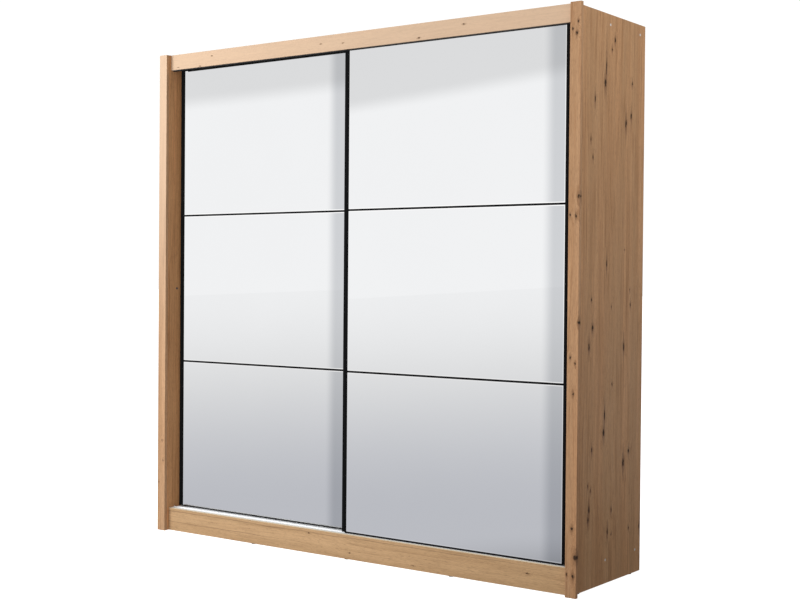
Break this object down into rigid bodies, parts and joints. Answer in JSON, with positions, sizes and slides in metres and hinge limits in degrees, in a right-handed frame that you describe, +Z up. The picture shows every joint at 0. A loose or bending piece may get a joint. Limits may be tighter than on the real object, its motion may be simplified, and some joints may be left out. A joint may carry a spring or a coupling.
{
  "type": "sliding door wardrobe",
  "caption": "Free-standing oak-decor wardrobe with two mirrored sliding doors in black aluminium profiles, a plinth, a fascia, shelves and a hanging rail inside.",
  "frame": {"origin": "centre of the bounding box on the floor, under the front trims and the glides", "axes": "+X to the right seen from the front, +Y from the front to the back, +Z up"},
  "size_m": [2.15, 0.58, 2.15],
  "materials": {
    "oak_board": "matt oak-decor melamine with open-grain texture",
    "hdf_back": "thin hardboard, pale painted face",
    "black_aluminium": "black anodised, satin",
    "track_aluminium": "natural anodised, satin",
    "mirror_silver": "silvered float glass, polished",
    "zinc_steel": "zinc plated",
    "chrome_tube": "bright chrome",
    "white_nylon": "moulded nylon",
    "black_plastic": "moulded, fine texture",
    "cap_plastic": "moulded, matt",
    "brush_pile": "woven pile strip",
    "buffer_rubber": "soft, matt",
    "beech_wood": "fluted beech, unfinished"
  },
  "bodies": {
    "carcass": {"angle_brackets": "zinc_steel", "back_panel_left": "hdf_back", "back_panel_nails": "zinc_steel", "back_panel_right": "hdf_back", "bottom_panel": "oak_board", "bottom_track": "track_aluminium", "carcass_screws": "zinc_steel", "centre_partition": "oak_board", "end_buffers": "buffer_rubber", "floor_glides": "black_plastic", "front_plinth": "oak_board", "front_trim_left": "oak_board", "front_trim_right": "oak_board", "hanging_rail": "chrome_tube", "hanging_rail_sockets": "chrome_tube", "left_hat_shelf": "oak_board", "left_shelf_1": "oak_board", "left_shelf_2": "oak_board", "rear_plinth": "oak_board", "right_hat_shelf": "oak_board", "screw_caps": "cap_plastic", "shelf_pins": "zinc_steel", "side_panel_left": "oak_board", "side_panel_right": "oak_board", "small_screws": "zinc_steel", "top_fascia": "oak_board", "top_panel": "oak_board", "top_track": "black_aluminium", "trim_dowels": "beech_wood", "wall_brackets": "zinc_steel"},
    "left_door": {"left_bottom_rail": "black_aluminium", "left_brush_seals": "brush_pile", "left_divider_strips": "black_aluminium", "left_door_board": "oak_board", "left_inner_handle_profile": "black_aluminium", "left_lower_mirror": "mirror_silver", "left_middle_mirror": "mirror_silver", "left_outer_handle_profile": "black_aluminium", "left_roller_axles": "zinc_steel", "left_roller_carriers": "black_plastic", "left_top_guides": "white_nylon", "left_top_rail": "black_aluminium", "left_upper_mirror": "mirror_silver"},
    "right_door": {"right_bottom_rail": "black_aluminium", "right_brush_seals": "brush_pile", "right_divider_strips": "black_aluminium", "right_door_board": "oak_board", "right_inner_handle_profile": "black_aluminium", "right_lower_mirror": "mirror_silver", "right_middle_mirror": "mirror_silver", "right_outer_handle_profile": "black_aluminium", "right_roller_axles": "zinc_steel", "right_roller_carriers": "black_plastic", "right_top_guides": "white_nylon", "right_top_rail": "black_aluminium", "right_upper_mirror": "mirror_silver"},
    "left_inner_roller": {"left_inner_roller": "white_nylon"},
    "left_outer_roller": {"left_outer_roller": "white_nylon"},
    "right_inner_roller": {"right_inner_roller": "white_nylon"},
    "right_outer_roller": {"right_outer_roller": "white_nylon"}
  },
  "joints": [
    {"name": "left_door_slide", "type": "slide", "parent": "carcass", "child": "left_door", "axis": [1, 0, 0], "range_m": [0, 1]},
    {"name": "left_outer_roller_spin", "type": "hinge", "parent": "left_door", "child": "left_outer_roller", "pos_m": [-0.951, -0.188, 0.1183], "axis": [0, 1, 0], "range_deg": [0, 4775]},
    {"name": "left_inner_roller_spin", "type": "hinge", "parent": "left_door", "child": "left_inner_roller", "pos_m": [-0.049, -0.188, 0.1183], "axis": [0, 1, 0], "range_deg": [0, 4775]},
    {"name": "right_door_slide", "type": "slide", "parent": "carcass", "child": "right_door", "axis": [1, 0, 0], "range_m": [-0.988, 0.012]},
    {"name": "right_outer_roller_spin", "type": "hinge", "parent": "right_door", "child": "right_outer_roller", "pos_m": [0.939, -0.233, 0.1183], "axis": [0, 1, 0], "range_deg": [-4718, 58]},
    {"name": "right_inner_roller_spin", "type": "hinge", "parent": "right_door", "child": "right_inner_roller", "pos_m": [0.037, -0.233, 0.1183], "axis": [0, 1, 0], "range_deg": [-4718, 58]}
  ],
  "couplings": [
    {"joint": "left_outer_roller_spin", "follows": "left_door_slide", "rad_per_m": 83.333},
    {"joint": "left_inner_roller_spin", "follows": "left_door_slide", "rad_per_m": 83.333},
    {"joint": "right_outer_roller_spin", "follows": "right_door_slide", "rad_per_m": 83.333},
    {"joint": "right_inner_roller_spin", "follows": "right_door_slide", "rad_per_m": 83.333}
  ]
}
